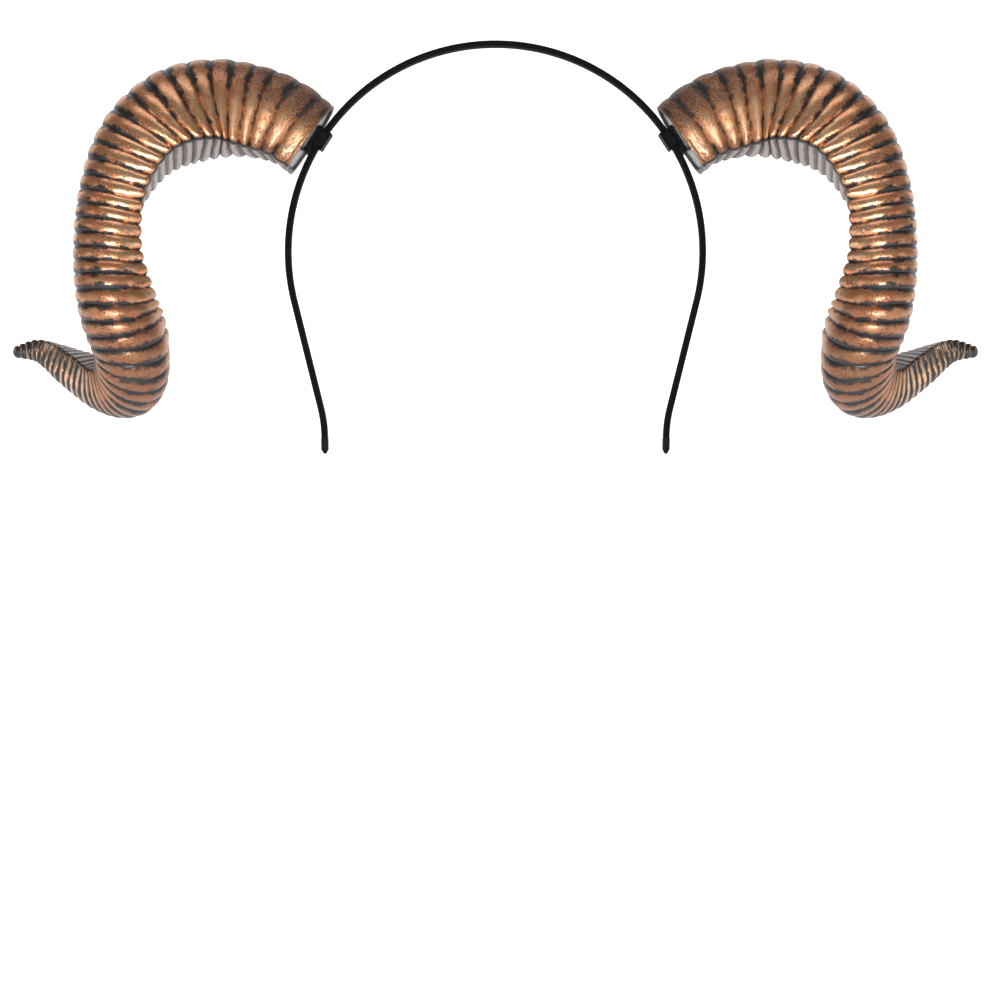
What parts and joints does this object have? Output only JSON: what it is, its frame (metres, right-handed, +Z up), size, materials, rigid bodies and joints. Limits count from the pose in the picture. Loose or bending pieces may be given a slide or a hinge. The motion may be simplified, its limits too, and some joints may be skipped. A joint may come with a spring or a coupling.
{
  "type": "ram horn headband",
  "caption": "Costume headband: a sprung, fabric-covered band that sits on the head and carries a pair of hollow, ribbed, curled ram's horns on sliding clips.",
  "frame": {"origin": "centre of the band's crown arc, which is the middle of the head the band grips, seen from behind", "axes": "+X to the wearer's right, +Y the way the wearer faces, +Z up"},
  "size_m": [0.3688, 0.068, 0.1548],
  "materials": {
    "spring_steel": "plain spring steel strip, hidden in the cover",
    "woven_cover": "black ribbed weave, nearly matt",
    "tip_plastic": "matt black",
    "clip_plastic": "matt black moulding",
    "cap_plastic": "dark grey, slightly glossy",
    "antique_bronze": "antique bronze paint dry-brushed over black, dark grooves"
  },
  "bodies": {
    "band": {"band_core": "spring_steel", "band_cover": "woven_cover", "band_tip_right": "tip_plastic", "band_tip_left": "tip_plastic"},
    "horn_right": {"clip_loop_right": "clip_plastic", "horn_cap_right": "cap_plastic", "horn_shell_right": "antique_bronze"},
    "horn_left": {"clip_loop_left": "clip_plastic", "horn_cap_left": "cap_plastic", "horn_shell_left": "antique_bronze"}
  },
  "joints": [
    {"name": "right_horn_slide", "type": "hinge", "parent": "band", "child": "horn_right", "pos_m": [0, 0, 0], "axis": [0, 1, 0], "range_deg": [-15, 15]},
    {"name": "left_horn_slide", "type": "hinge", "parent": "band", "child": "horn_left", "pos_m": [0, 0, 0], "axis": [0, -1, 0], "range_deg": [-15, 15]}
  ]
}
